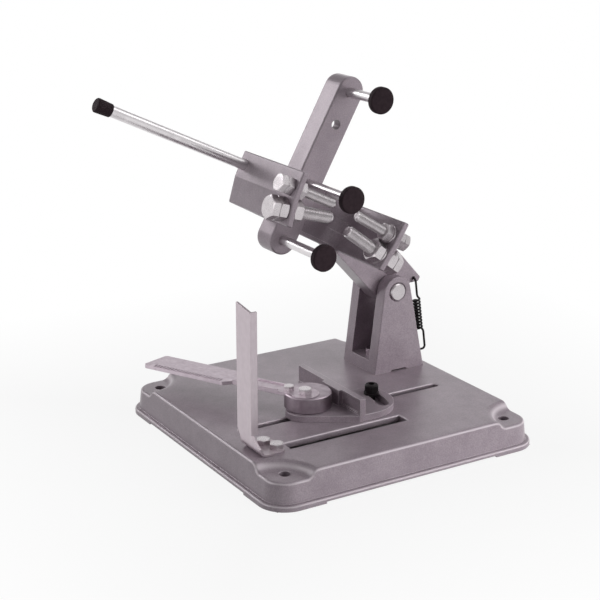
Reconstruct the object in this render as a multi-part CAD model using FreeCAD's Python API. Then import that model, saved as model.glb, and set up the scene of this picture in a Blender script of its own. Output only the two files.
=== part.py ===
import FreeCAD, Part
import math
import os

# Bench stand that holds a hand-held angle grinder in a sprung swing arm over a slotted base.
# Millimetres, +Z up. The origin is the middle of the footprint, on the plane that the stand rests on.
# X runs along the cutting slot towards the column, Y from the cutting side to the back.

Vec = FreeCAD.Vector
X_AXIS = Vec(1, 0, 0)
Y_AXIS = Vec(0, 1, 0)
Z_AXIS = Vec(0, 0, 1)

# Clearances
running_clearance = 0.06
face_clearance = 0.05
fixed_clearance = 0.03
hole_clearance = 0.3

# Standard threads: outside diameter, hexagon across its flats, height of head and of nut
M5 = {"thread": 5.0, "across": 8.0, "head": 3.5}
M6 = {"thread": 6.0, "across": 10.0, "head": 4.0, "nut": 5.0}
M8 = {"thread": 8.0, "across": 13.0, "head": 5.3, "nut": 6.5}
M10 = {"thread": 10.0, "across": 17.0, "head": 6.4, "nut": 8.0}
hex_chamfer_share = 0.95
hex_chamfer_slope = math.tan(math.radians(60.0))
thread_end_chamfer = 1.2

# Base casting
base_side = 248.0
base_height = 26.5
base_corner_radius = 22.5
bead_height = 4.5
bead_width = 3.2
bead_round = 2.0
side_lean = 2.8
base_wall = 4.0
base_top_thickness = 5.0
base_edge_round = 2.4
foot_lift = 1.5
foot_length = 45.0
bench_hole_inset = 22.0
bench_hole_diameter = 9.0
bench_boss_diameter = 22.0
dish_floor_radius = 25.0
dish_bend = 7.0
dish_depth = 6.0
rib_thickness = 3.0
rib_depth = 8.0

# Slots in the base, set in from its left, right and front edges
cut_slot_left_inset = 43.0
cut_slot_length = 107.3
cut_slot_front_inset = 53.2
cut_slot_width = 11.5
clamp_slot_left_inset = 26.0
clamp_slot_right_inset = 31.3
clamp_slot_front_inset = 98.0
clamp_slot_width = 6.8
slot_edge_chamfer = 0.7

# Column, set in from the base's right and back edges
column_rear_inset = 13.2
column_length = 51.0
column_width = 48.5
column_back_inset = 56.95
column_round = 0.8
cheek_gap = 26.0
column_floor = 10.0
rear_web = 8.0
rear_web_height = 45.0
foot_notch_start = 17.0
foot_notch_length = 16.0
foot_notch_height = 1.4
pivot_setback = 28.7
pivot_height = 70.7
column_head_radius = 13.4
column_bolt = M8
column_bolt_spacing = 17.0
column_bolt_setback = 27.8

# Pivot
pivot_pin_diameter = 15.0
pivot_pin_proud = 1.2
pivot_pin_tail = 3.4
pivot_pin_chamfer = 1.0
pin_countersink_diameter = 17.6
circlip_thickness = 1.2
circlip_width = 3.2
circlip_groove = 0.6
circlip_gap_angle = 50.0
pivot_washer_thickness = 0.8
pivot_washer_width = 4.5
bush_wall = 2.0

# Swing arm: its own axes run from the pivot along the arm (s), across it (y) and square to it (n)
arm_lean = 29.0
knuckle_radius = 13.0
yoke_middle = -117.0
yoke_width = 112.0
yoke_depth = 90.0
yoke_wall = 5.5
yoke_inner_round = 14.0
yoke_top = 52.0
yoke_bend = 30.2
yoke_bottom = 9.5
left_leans = (3.5, 13.0)
right_leans = (3.0, 8.0)
web_thickness = 15.0
web_lip = 3.0
web_lip_depth = 5.0
bar_width = 24.5
bar_thickness = 22.0
bar_proud = 2.0
bar_top = 143.0
bar_plate = 9.0
bar_flange = 4.5
bar_pocket_rise = 6.0
cast_round = 1.4
tail_length = 25.0
tail_edge_height = 20.3
tail_end_height = 4.0
tail_heel_s = 17.6
tail_heel_n = 12.0
tail_corner = 1.6

# Clamp bolts: the lower pair is one size larger than the upper
clamp_bolt_inset = 10.0
upper_bolt = M8
upper_bolt_place = 38.0
upper_bolt_length = 50.0
lower_bolt = M10
lower_bolt_place = 20.3
lower_bolt_length = 52.0
clamp_washer_diameters = {"upper": 16.0, "lower": 18.0}
clamp_hex_turns = {"upper": 30.0, "lower": 0.0}
clamp_washer_thickness = 1.6

# Rest pins
rest_pin_diameter = 8.0
top_pin_drop = 12.8
middle_pin_place = 49.3
bottom_pin_place = -0.4
rest_pin_reach = {"top": 40.2, "middle": 59.5, "bottom": 57.5}
spare_hole_place = 101.8
rest_pad_diameter = 21.5
rest_pad_thickness = 5.6
rest_pad_socket = 3.2
rest_pad_round = 1.2

# Handle
handle_inset = 8.0
handle_place = 41.0
handle_diameter = 9.0
handle_reach = 136.0
handle_depth = 20.0
cap_length = 13.0
cap_socket = 10.0
cap_mouth_diameter = 10.4
cap_end_diameter = 11.6
cap_round = 1.6

# Return spring
spring_stand_off = 3.4
spring_wire = 1.9
spring_outer_diameter = 7.6
spring_turns = 10
spring_pitch = 2.85
spring_hook_bend = 3.0
spring_side_bend = 2.3
spring_hole_diameter = 3.2
spring_hole_depth = 5.0
spring_coil_share = 0.51
tail_hole_s = 18.7
tail_hole_n = 16.8
spring_foot_overhang = 4.3
spring_foot_height = 13.3

# Vise
vise_screw = M6
vise_pivot_start = 60.5
arc_slot_radius = 63.5
fence_offset = 29.0
fence_thickness = 5.0
fence_height = 18.6
fence_forward = 35.0
fence_length = 92.0
fence_plate = 5.2
fence_foot_radius = 15.7
fence_recess_depth = 1.2
fence_recess_front = 3.0
fence_recess_length = 23.6
fence_recess_rise = 1.5
jaw_proud = 3.0
jaw_start = 26.6
jaw_length = 24.4
ear_backward = 15.0
ear_beyond_screw = 12.0
ear_corner = 30.0
ear_small_corner = 8.0
arc_slot_width = 10.0
arc_slot_sweep = 20.0
fence_washer_diameter = 12.5
washer_thickness = 1.6
socket_head_diameter = 10.6
socket_head_height = 7.0
socket_key = 5.0
socket_depth = 3.4
cam_radius = 19.0
cam_height = 13.1
cam_offset = 6.4
cam_offset_angle = 38.7
cam_chamfer = 0.8
lever_angle = 117.5
lever_length = 147.0
lever_thickness = 3.0
lever_proud = 0.5
lever_eye_radius = 11.4
lever_neck_width = 14.6
lever_grip_start = 64.0
lever_grip_width = 27.0
lever_shoulder = 6.0
lever_end_slant = 9.0
lever_lip_start = 22.0
lever_lip_width = 1.6
lever_lip_height = 1.1
lever_screw = M5
lever_bolt_place = 15.0
lever_bolt_depth = 8.0
slide_washer_diameter = 18.0

# Spark guard
guard_thickness = 1.8
guard_left_inset = 13.0
guard_width = 21.0
guard_lip = 5.8
guard_height = 113.0
guard_top_drop = 3.0
guard_bend = 7.0
guard_foot_length = 24.5
guard_foot_forward = 10.2
guard_foot_width = 28.0
guard_foot_corner = 7.0
guard_screw = M6
guard_screw_offsets = ((15.0, 9.8), (19.5, -2.2))


# Places worked out from the sizes above
base_top = base_height
cavity_top = base_height - base_top_thickness
dish_floor = base_height - dish_depth
top_side = base_side - 2 * bead_width - 2 * side_lean
bench_hole_place = base_side / 2 - bench_hole_inset
cut_slot_left = cut_slot_left_inset - base_side / 2
cut_slot_y = cut_slot_front_inset - base_side / 2
clamp_slot_left = clamp_slot_left_inset - base_side / 2
clamp_slot_right = base_side / 2 - clamp_slot_right_inset
clamp_slot_y = clamp_slot_front_inset - base_side / 2
column_rear = base_side / 2 - column_rear_inset
column_front = column_rear - column_length
column_far = base_side / 2 - column_back_inset
column_near = column_far - column_width
column_y = (column_near + column_far) / 2
gap_near = column_y - cheek_gap / 2
gap_far = column_y + cheek_gap / 2
rib_rows = ((cut_slot_y + clamp_slot_y) / 2, (clamp_slot_y + column_near) / 2,
            (column_far + base_side / 2) / 2)
bolt_middle = column_rear - column_bolt_setback
column_bolt_places = (bolt_middle - column_bolt_spacing / 2, bolt_middle + column_bolt_spacing / 2)
pivot = Vec(column_rear - pivot_setback, 0, base_top + pivot_height)
knuckle_near = gap_near + pivot_washer_thickness + face_clearance
knuckle_far = gap_far - pivot_washer_thickness - face_clearance
yoke_back = knuckle_far
yoke_front = yoke_back - yoke_depth
bar_front = yoke_back + bar_proud - bar_thickness
clamp_bolt_y = yoke_front + clamp_bolt_inset
handle_y = yoke_back - handle_inset
rest_pin_places = {"top": bar_top - top_pin_drop, "middle": middle_pin_place, "bottom": bottom_pin_place}
spring_y = knuckle_near - spring_stand_off
vise_pivot_x = clamp_slot_left + vise_pivot_start
fence_screw_x = vise_pivot_x + arc_slot_radius
fence_face = vise_pivot_x + fence_offset
fence_front = clamp_slot_y - fence_forward
fence_back = fence_front + fence_length
ear_back = clamp_slot_y + ear_backward
ear_right = fence_screw_x + ear_beyond_screw
guard_x = guard_left_inset - base_side / 2
guard_front = cut_slot_y + guard_thickness
guard_foot_front = cut_slot_y - guard_foot_forward
guard_foot_back = guard_foot_front + guard_foot_width
guard_screw_places = [(guard_x + along, cut_slot_y + across) for along, across in guard_screw_offsets]
plate_bottom = base_top + face_clearance
plate_top = plate_bottom + fence_plate
cam_bottom = plate_top + face_clearance
cam_top = cam_bottom + cam_height
lever_top = cam_top + lever_proud
lever_bottom = lever_top - lever_thickness
vise_pivot = Vec(vise_pivot_x, clamp_slot_y, 0)
arm_frame = FreeCAD.Placement(pivot, FreeCAD.Rotation(Y_AXIS, arm_lean))


# General shapes

def box(low, high):
    """A block between two corners."""
    size = high - low
    return Part.makeBox(size.x, size.y, size.z, low)


def tube(start, direction, outer, inner, length):
    """A round sleeve or washer, given by diameters."""
    body = Part.makeCylinder(outer / 2, length, start, direction)
    return body.cut(Part.makeCylinder(inner / 2, length, start, direction))


def aimed(shape, place, direction):
    """The shape, drawn along +Z from the origin, set at a place and along a direction."""
    shape.Placement = FreeCAD.Placement(place, FreeCAD.Rotation(Z_AXIS, direction))
    return shape


def in_arm(shape):
    """The shape, drawn in the arm's own axes, set where the arm stands."""
    shape.Placement = arm_frame.multiply(shape.Placement)
    return shape


def outline(points):
    """A closed face with straight sides through the points."""
    return Part.Face(Part.makePolygon(points + [points[0]]))


def side_prism(points, near, far):
    """An (x, z) outline drawn out along Y from near to far."""
    face = outline([Vec(x, near, z) for x, z in points])
    return face.extrude(Vec(0, far - near, 0))


def flat_prism(points, bottom, thickness):
    """An (x, y) outline drawn up from a level."""
    return outline([Vec(x, y, bottom) for x, y in points]).extrude(Vec(0, 0, thickness))


def slot_cut(left, right, middle, width, bottom, top, round_ends):
    """The tool for a slot along X between two ends."""
    half = width / 2
    inset = half if round_ends else 0.0
    tool = box(Vec(left + inset, middle - half, bottom), Vec(right - inset, middle + half, top))
    if round_ends:
        for end in (left + half, right - half):
            tool = tool.fuse(Part.makeCylinder(half, top - bottom, Vec(end, middle, bottom)))
    return tool


def edges_at_level(shape, level):
    """The edges that lie in the plane z = level."""
    near = fixed_clearance
    return [edge for edge in shape.Edges
            if abs(edge.BoundBox.ZMin - level) < near and abs(edge.BoundBox.ZMax - level) < near]


def upright_edges(shape):
    """The straight edges that run along Z."""
    return [edge for edge in shape.Edges
            if edge.BoundBox.XLength < fixed_clearance and edge.BoundBox.YLength < fixed_clearance]


def tangent_point(start, centre, radius, turn):
    """Where a line from start touches a circle, on the side that turn (+1 or -1) picks; (x, z) pairs."""
    gap = (centre[0] - start[0], centre[1] - start[1])
    reach = math.hypot(gap[0], gap[1])
    angle = math.atan2(-gap[1], -gap[0]) + turn * math.acos(radius / reach)
    return (centre[0] + radius * math.cos(angle), centre[1] + radius * math.sin(angle))


# Fasteners

def hexagon(across_flats, height, chamfer_both, turn=0.0):
    """A hexagon along +Z with its corners turned down at the top, and at the bottom too on a nut."""
    corner = across_flats / math.sqrt(3)
    angles = [math.radians(60 * k + turn) for k in range(6)]
    points = [(corner * math.cos(angle), corner * math.sin(angle)) for angle in angles]
    body = flat_prism(points, 0, height)
    top_radius = across_flats / 2 * hex_chamfer_share
    wide_radius = top_radius + height * hex_chamfer_slope
    body = body.common(Part.makeCone(wide_radius, top_radius, height))
    if chamfer_both:
        body = body.common(Part.makeCone(top_radius, wide_radius, height))
    return body


def shank(diameter, length):
    """A round shank along +Z with a chamfered end."""
    body = Part.makeCylinder(diameter / 2, length)
    return body.makeChamfer(thread_end_chamfer, edges_at_level(body, length))


def hex_bolt(size, length, seat, direction, turn=0.0):
    """A hexagon bolt whose head sits on the seat, with its shank along the direction."""
    body = hexagon(size["across"], size["head"], False, turn)
    body.rotate(Vec(0, 0, 0), X_AXIS, 180)
    return aimed(body.fuse(shank(size["thread"], length)), seat, direction)


def hex_nut(size, seat, direction, turn=0.0):
    """A nut that stands on the seat along the direction."""
    body = hexagon(size["across"], size["nut"], True, turn)
    bore = Part.makeCylinder(size["thread"] / 2 + running_clearance, size["nut"])
    return aimed(body.cut(bore), seat, direction)


# Base and what is fixed to it

def rounded_square(side, corner, level):
    """A square outline with round corners, centred on the origin."""
    half = side / 2
    inner = half - corner
    reach = corner * math.sqrt(0.5)
    edges = []
    for quarter in range(4):
        turn = FreeCAD.Rotation(Z_AXIS, 90 * quarter)
        start, end = Vec(half, -inner, level), Vec(half, inner, level)
        middle = Vec(inner + reach, inner + reach, level)
        stop = Vec(inner, half, level)
        edges.append(Part.LineSegment(turn.multVec(start), turn.multVec(end)).toShape())
        edges.append(Part.Arc(turn.multVec(end), turn.multVec(middle), turn.multVec(stop)).toShape())
    return Part.Wire(edges)


def corners():
    """The signs of the four corners of the base."""
    return [(sx, sy) for sx in (-1, 1) for sy in (-1, 1)]


def dish_run():
    """How far out each of the two equal bends of a corner's scoop reaches, and the angle it turns through."""
    turn = math.acos(1 - dish_depth / (2 * dish_bend))
    return dish_bend * math.sin(turn), turn


def dish_tool():
    """The tool for a corner's scoop: a flat floor that sweeps up to the level of the top in two bends."""
    run, turn = dish_run()
    rim = dish_floor_radius + 2 * run
    ceiling = base_height + dish_depth

    def bend(middle, first, last):
        ways = [Vec(math.cos(angle), 0, math.sin(angle)) for angle in (first, (first + last) / 2, last)]
        return Part.Arc(*[middle + way * dish_bend for way in ways])

    quarter = math.radians(90)
    foot = bend(Vec(dish_floor_radius, 0, dish_floor + dish_bend), -quarter, turn - quarter)
    brow = bend(Vec(rim, 0, base_height - dish_bend), turn + quarter, quarter)
    start, end = Vec(dish_floor_radius, 0, dish_floor), Vec(rim, 0, base_height)
    back = Part.makePolygon([end, Vec(rim, 0, ceiling), Vec(0, 0, ceiling), Vec(0, 0, dish_floor), start])
    profile = Part.Wire([foot.toShape(), brow.toShape()] + back.Edges)
    return Part.Face(profile).revolve(Vec(0, 0, 0), Z_AXIS, 360)


def base_body():
    """The tray's outside: a rounded bead at the foot, leaning sides, scooped corners and a rounded rim."""
    bead = Part.Face(rounded_square(base_side, base_corner_radius, 0)).extrude(Vec(0, 0, bead_height))
    bead = bead.makeFillet(bead_round, edges_at_level(bead, bead_height))
    over = dish_depth
    share = 1 + over / base_height
    low = rounded_square(base_side - 2 * bead_width, base_corner_radius - bead_width, 0)
    high = rounded_square(base_side - 2 * bead_width - 2 * side_lean * share,
                          base_corner_radius - bead_width - side_lean * share, base_height + over)
    sides = Part.makeLoft([low, high], True, True)
    above = box(Vec(-base_side, -base_side, base_height), Vec(base_side, base_side, base_height + 2 * over))
    scoops = []
    for sx, sy in corners():
        scoop = dish_tool()
        scoop.translate(Vec(sx * top_side / 2, sy * top_side / 2, 0))
        scoops.append(scoop)
    sides = sides.cut(above.fuse(scoops).removeSplitter())
    return bead.fuse(sides.makeFillet(base_edge_round, rim_edges(sides)))


def rim_edges(body):
    """The edges along the top of the leaning sides."""
    walls = [face for face in body.Faces if face.BoundBox.ZMin < fixed_clearance < face.BoundBox.ZMax]
    lowest = dish_floor - fixed_clearance
    return [edge for face in walls for edge in face.Edges if edge.BoundBox.ZMin > lowest]


def base_plate():
    """The hollow casting with its dished corners, slots, ribs and bench holes."""
    dish_corner = top_side / 2
    dish_wall = dish_floor_radius + dish_run()[0] + base_wall
    body = base_body()
    low = rounded_square(base_side - 2 * bead_width - 2 * base_wall, base_corner_radius - bead_width, 0)
    high = rounded_square(top_side - 2 * base_wall, base_corner_radius - bead_width, cavity_top)
    cavity = Part.makeLoft([low, high], True, True)
    for sx, sy in corners():
        middle = Vec(sx * dish_corner, sy * dish_corner, dish_floor - base_top_thickness)
        cavity = cavity.cut(Part.makeCylinder(dish_wall, base_height, middle))
        boss = Vec(sx * bench_hole_place, sy * bench_hole_place, 0)
        cavity = cavity.cut(Part.makeCylinder(bench_boss_diameter / 2, base_height, boss))
    for row in rib_rows:
        half = rib_thickness / 2
        rib = box(Vec(-base_side, row - half, cavity_top - rib_depth),
                  Vec(base_side, row + half, base_height))
        cavity = cavity.cut(rib)
    body = body.cut(cavity)

    reach = base_side / 2 - foot_length
    for turn in (0, 90):
        relief = box(Vec(-reach, -base_side, 0), Vec(reach, base_side, foot_lift))
        relief.rotate(Vec(0, 0, 0), Z_AXIS, turn)
        body = body.cut(relief)
    for sx, sy in corners():
        hole = Vec(sx * bench_hole_place, sy * bench_hole_place, 0)
        body = body.cut(Part.makeCylinder(bench_hole_diameter / 2, base_height, hole))

    body = body.cut(slot_cut(cut_slot_left, cut_slot_left + cut_slot_length, cut_slot_y, cut_slot_width,
                             0, base_height, False))
    body = body.cut(slot_cut(clamp_slot_left, clamp_slot_right, clamp_slot_y, clamp_slot_width,
                             0, base_height, True))
    body = body.makeChamfer(slot_edge_chamfer, slot_rims(body))
    for place in column_bolt_places:
        body = body.cut(clear_hole(column_bolt["thread"], Vec(place, column_y, 0), base_height))
    for x, y in guard_screw_places:
        body = body.cut(clear_hole(guard_screw["thread"], Vec(x, y, 0), base_height))
    return body


def slot_rims(body):
    """The upper edges of the two slots."""
    rims = []
    for middle, width in ((cut_slot_y, cut_slot_width), (clamp_slot_y, clamp_slot_width)):
        for edge in edges_at_level(body, base_height):
            span = edge.BoundBox
            if abs(span.YMin - middle) < width and abs(span.YMax - middle) < width:
                rims.append(edge)
    return rims


def clear_hole(diameter, start, depth):
    """The tool for an upright clearance hole."""
    return Part.makeCylinder(diameter / 2 + hole_clearance, depth, start)


def column_outline():
    """The column's side view: a foot that narrows up to a round head about the pivot."""
    centre = (pivot.x, pivot.z)
    front, rear = (column_front, base_top), (column_rear, base_top)
    front_touch = tangent_point(front, centre, column_head_radius, -1)
    rear_touch = tangent_point(rear, centre, column_head_radius, 1)
    corner = {"front": front, "rear": rear, "front_touch": front_touch, "rear_touch": rear_touch,
              "crown": (pivot.x, pivot.z + column_head_radius)}
    return {name: Vec(x, column_near, z) for name, (x, z) in corner.items()}


def rear_face_x(level):
    """Where the column's leaning rear face stands at a level."""
    at = column_outline()
    rear, touch = at["rear"], at["rear_touch"]
    return rear.x - (rear.x - touch.x) * (level - rear.z) / (touch.z - rear.z)


def column():
    """Two cheeks on a thick foot, with a low web at the rear and a hole there for the spring."""
    at = column_outline()
    wire = Part.Wire([Part.LineSegment(at["front"], at["rear"]).toShape(),
                      Part.LineSegment(at["rear"], at["rear_touch"]).toShape(),
                      Part.Arc(at["rear_touch"], at["crown"], at["front_touch"]).toShape(),
                      Part.LineSegment(at["front_touch"], at["front"]).toShape()])
    body = Part.Face(wire).extrude(Vec(0, column_width, 0))
    rounded = [edge for edge in body.Edges if edge.BoundBox.ZMax > base_top + column_floor]
    body = body.makeFillet(column_round, rounded)

    floor = base_top + column_floor
    crown = pivot.z + 2 * column_head_radius
    web_rear = [(rear_face_x(level) - rear_web, level) for level in (floor, base_top + rear_web_height)]
    gap = [(0, floor), web_rear[0], web_rear[1], (base_side, base_top + rear_web_height),
           (base_side, crown), (0, crown)]
    body = body.cut(side_prism(gap, gap_near, gap_far))
    body = body.cut(Part.makeCylinder(pivot_pin_diameter / 2 + fixed_clearance, column_width,
                                      Vec(pivot.x, column_near, pivot.z), Y_AXIS))
    notch_left = column_front + foot_notch_start
    body = body.cut(box(Vec(notch_left, column_near, base_top),
                        Vec(notch_left + foot_notch_length, gap_near, base_top + foot_notch_height)))
    for place in column_bolt_places:
        body = body.cut(clear_hole(column_bolt["thread"], Vec(place, column_y, base_top), column_floor))

    sink = (pin_countersink_diameter - pivot_pin_diameter) / 2
    body = body.cut(Part.makeCone(pin_countersink_diameter / 2, pivot_pin_diameter / 2, sink,
                                  Vec(pivot.x, column_near, pivot.z), Y_AXIS))
    tip, low = spring_foot_tip(), spring_ends()[0]
    return body.cut(Part.makeCylinder(spring_hole_diameter / 2, low.x - tip.x, tip, X_AXIS))


def column_fasteners():
    """The bolts through the column's foot and their nuts under the base."""
    length = column_floor + base_top_thickness + column_bolt["nut"] + thread_end_chamfer
    bolts = [hex_bolt(column_bolt, length, Vec(x, column_y, base_top + column_floor), -Z_AXIS)
             for x in column_bolt_places]
    nuts = [hex_nut(column_bolt, Vec(x, column_y, cavity_top), -Z_AXIS) for x in column_bolt_places]
    return Part.makeCompound(bolts), Part.makeCompound(nuts)


def pivot_pin():
    """The hinge pin, chamfered, with a groove for its ring at the back."""
    length = column_width + pivot_pin_proud + pivot_pin_tail
    body = Part.makeCylinder(pivot_pin_diameter / 2, length)
    ends = edges_at_level(body, 0) + edges_at_level(body, length)
    body = body.makeChamfer(pivot_pin_chamfer, ends)
    groove_start = pivot_pin_proud + column_width + face_clearance
    groove = tube(Vec(0, 0, groove_start), Z_AXIS, pivot_pin_diameter * 2,
                  pivot_pin_diameter - 2 * circlip_groove, circlip_thickness)
    return aimed(body.cut(groove), Vec(pivot.x, column_near - pivot_pin_proud, pivot.z), Y_AXIS)


def pivot_circlip():
    """The open ring that keeps the pin in the column."""
    inner = pivot_pin_diameter - 2 * circlip_groove + 2 * fixed_clearance
    ring = tube(Vec(0, 0, 0), Z_AXIS, inner + 2 * circlip_width, inner, circlip_thickness)
    reach = pivot_pin_diameter
    half = math.radians(circlip_gap_angle / 2)
    mouth = flat_prism([(0, 0), (reach * math.cos(half), -reach * math.sin(half)),
                        (reach * math.cos(half), reach * math.sin(half))], 0, circlip_thickness)
    place = Vec(pivot.x, column_far + face_clearance, pivot.z)
    return aimed(ring.cut(mouth), place, Y_AXIS)


def pivot_washers():
    """Thrust washers between the knuckle and the cheeks."""
    bore = pivot_pin_diameter + 2 * fixed_clearance
    outer = pivot_pin_diameter + 2 * pivot_washer_width
    places = (gap_near, gap_far - pivot_washer_thickness)
    return Part.makeCompound([tube(Vec(pivot.x, y, pivot.z), Y_AXIS, outer, bore, pivot_washer_thickness)
                              for y in places])


def guard_sheet(near, far):
    """The guard's bent sheet before it is trimmed: an upright and a foot with a rounded bend."""
    left, right = guard_x, guard_x + guard_foot_length
    top = base_top + guard_height
    foot_top = base_top + guard_thickness
    bend = Vec(left + guard_bend, near, base_top + guard_bend)
    inner = guard_bend - guard_thickness
    diagonal = Vec(-math.sqrt(0.5), 0, -math.sqrt(0.5))
    heel = Part.Arc(Vec(bend.x, near, base_top), bend + diagonal * guard_bend, Vec(left, near, bend.z))
    crook = Part.Arc(Vec(left + guard_thickness, near, bend.z), bend + diagonal * inner,
                     Vec(bend.x, near, foot_top))
    corners_round = [Vec(left, near, bend.z), Vec(left, near, top), Vec(left + guard_thickness, near, top),
                     Vec(left + guard_thickness, near, bend.z)]
    corners_foot = [Vec(bend.x, near, foot_top), Vec(right, near, foot_top), Vec(right, near, base_top),
                    Vec(bend.x, near, base_top)]
    wire = Part.Wire([heel.toShape()] + Part.makePolygon(corners_round).Edges
                     + [crook.toShape()] + Part.makePolygon(corners_foot).Edges)
    return Part.Face(wire).extrude(Vec(0, far - near, 0))


def guard_strip():
    """A bent strip: an upright angle with a sloping top, on a foot with rounded corners."""
    back = guard_front + guard_width
    top = base_top + guard_height
    bend_top = base_top + guard_bend
    trim = [(guard_foot_front, base_top), (guard_foot_back, base_top), (guard_foot_back, bend_top),
            (back, bend_top + guard_bend), (back, top), (guard_front, top - guard_top_drop),
            (guard_front, bend_top + guard_bend), (guard_foot_front, bend_top)]
    side_view = outline([Vec(guard_x, y, z) for y, z in trim]).extrude(Vec(guard_foot_length, 0, 0))
    body = guard_sheet(guard_foot_front, back).common(side_view)
    body = body.makeFillet(guard_foot_corner, [edge for edge in upright_edges(body)
                                               if edge.BoundBox.XMin > guard_x + guard_foot_length / 2])
    body = body.fuse(box(Vec(guard_x, guard_front, bend_top + guard_bend),
                         Vec(guard_x + guard_lip, guard_front + guard_thickness, top - guard_top_drop)))
    for x, y in guard_screw_places:
        body = body.cut(clear_hole(guard_screw["thread"], Vec(x, y, base_top), guard_thickness))
    return body.removeSplitter()


def guard_fasteners():
    """The screws through the guard's foot and their nuts under the base."""
    length = guard_thickness + base_top_thickness + guard_screw["nut"] + thread_end_chamfer
    screws = [hex_bolt(guard_screw, length, Vec(x, y, base_top + guard_thickness), -Z_AXIS)
              for x, y in guard_screw_places]
    nuts = [hex_nut(guard_screw, Vec(x, y, cavity_top), -Z_AXIS) for x, y in guard_screw_places]
    return Part.makeCompound(screws), Part.makeCompound(nuts)


# Swing arm, drawn in its own axes

def wall_face(side):
    """Points down a yoke wall's outer face; side is -1 on the handle's side and +1 at the pivot."""
    upper, lower = left_leans if side < 0 else right_leans
    top = yoke_middle + side * yoke_width / 2
    bend = top - side * (yoke_top - yoke_bend) * math.tan(math.radians(upper))
    bottom = bend - side * (yoke_bend - yoke_bottom) * math.tan(math.radians(lower))
    return [(top, yoke_top), (bend, yoke_bend), (bottom, yoke_bottom)]


def wall_seat(side, row):
    """Where a clamp bolt's axis crosses the outer face, the way in, and the wall's depth there."""
    top, bend, bottom = wall_face(side)
    upper = row == "upper"
    (s0, n0), (s1, n1) = (top, bend) if upper else (bend, bottom)
    n = upper_bolt_place if upper else lower_bolt_place
    s = s0 + (s1 - s0) * (n0 - n) / (n0 - n1)
    lean = math.radians((left_leans if side < 0 else right_leans)[0 if upper else 1])
    inward = Vec(-side * math.cos(lean), 0, math.sin(lean))
    return Vec(s, clamp_bolt_y, n), inward, yoke_wall * math.cos(lean)


def yoke_wall_body(side):
    """One bent wall of the yoke with rounded edges."""
    outer = wall_face(side)
    inner = [(s - side * yoke_wall, n) for s, n in reversed(outer)]
    body = side_prism(outer + inner, yoke_front, yoke_back)
    rounded = [edge for edge in body.Edges if edge.BoundBox.YMin < yoke_back - cast_round]
    straight = [edge for edge in rounded if not is_bend_line(edge)]
    return body.makeFillet(cast_round, straight)


def is_bend_line(edge):
    """True for the lines along a wall where it bends."""
    level = edge.BoundBox
    along = level.ZLength < fixed_clearance
    return along and abs(level.ZMin - yoke_bend) < fixed_clearance and level.YLength > cast_round


def web_body():
    """The plate at the back of the yoke, with a lip along its lower edge."""
    left, right = wall_face(-1), wall_face(1)
    half = yoke_wall / 2
    left_side = [(s + half, n) for s, n in left]
    right_side = [(s - half, n) for s, n in reversed(right)]
    near = yoke_back - web_thickness
    body = side_prism(left_side + right_side, near, yoke_back)
    (s0, n0), (s1, _) = left_side[-1], right_side[0]
    lip = side_prism([(s0, n0), (s1, n0), (s1, n0 + web_lip), (s0, n0 + web_lip)], near - web_lip_depth, near)
    body = body.fuse([lip] + [inner_round(side, near) for side in (-1, 1)])
    return body


def inner_round(side, near):
    """The large round between a yoke wall and the web."""
    outer = wall_face(side)
    foot = [(s - side * yoke_wall / 2, n) for s, n in outer]
    reach = [(s - side * (yoke_wall + yoke_inner_round), n) for s, n in reversed(outer)]
    body = side_prism(foot + reach, near - yoke_inner_round, near)
    for (s0, n0), (s1, n1) in zip(outer, outer[1:]):
        start = Vec(s0 - side * (yoke_wall + yoke_inner_round), near - yoke_inner_round, n0)
        end = Vec(s1 - side * (yoke_wall + yoke_inner_round), near - yoke_inner_round, n1)
        way = end - start
        overrun = way * (yoke_wall / way.Length)
        body = body.cut(Part.makeCylinder(yoke_inner_round, way.Length + 2 * yoke_wall, start - overrun, way))
    return body


def bar_body():
    """The bar that carries the rest pins: above the web, a plate with a flange on one side and its top."""
    half = bar_width / 2
    foot, head = rest_pin_places["bottom"], bar_top - half
    low, high = yoke_middle - half, yoke_middle + half

    def at(s, n):
        return Vec(s, bar_front, n)

    edges = [Part.Arc(at(low, foot), at(yoke_middle, foot - half), at(high, foot)).toShape(),
             Part.LineSegment(at(high, foot), at(high, head)).toShape(),
             Part.Arc(at(high, head), at(yoke_middle, bar_top), at(low, head)).toShape(),
             Part.LineSegment(at(low, head), at(low, foot)).toShape()]
    body = Part.Face(Part.Wire(edges)).extrude(Vec(0, bar_thickness, 0))
    faces = [edge for edge in body.Edges if edge.BoundBox.YLength < fixed_clearance]
    body = body.makeFillet(cast_round, faces)

    inner, deep = half - bar_flange, bar_front + bar_plate
    back = bar_front + bar_thickness
    pocket = box(Vec(yoke_middle - inner, deep, yoke_top + bar_pocket_rise),
                 Vec(high, back, head))
    crown = Part.makeCylinder(inner, back - deep, Vec(yoke_middle, deep, head), Y_AXIS)
    return body.cut(pocket.fuse(crown))


def knuckle_body():
    """The plate from the yoke's pivot-side wall round the pivot to the tail that holds the spring."""
    wall = wall_face(1)
    start_low = (wall[2][0] - yoke_wall, wall[2][1])
    low_touch = tangent_point(start_low, (0, 0), knuckle_radius, 1)
    heel = (tail_heel_s, tail_heel_n)
    heel_touch = tangent_point(heel, (0, 0), knuckle_radius, -1)
    points = [(wall[0][0] - yoke_wall, wall[0][1]), start_low, low_touch, heel_touch, heel,
              (tail_length, tail_edge_height - tail_end_height), (tail_length, tail_edge_height)]
    body = side_prism(points, knuckle_near, knuckle_far)
    tips = [edge for edge in body.Edges if edge.BoundBox.XMin > tail_length - fixed_clearance
            and edge.BoundBox.ZLength < fixed_clearance]
    body = body.makeFillet(tail_corner, tips)
    hub = Part.makeCylinder(knuckle_radius, knuckle_far - knuckle_near, Vec(0, knuckle_near, 0), Y_AXIS)
    return body.fuse(hub)


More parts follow.
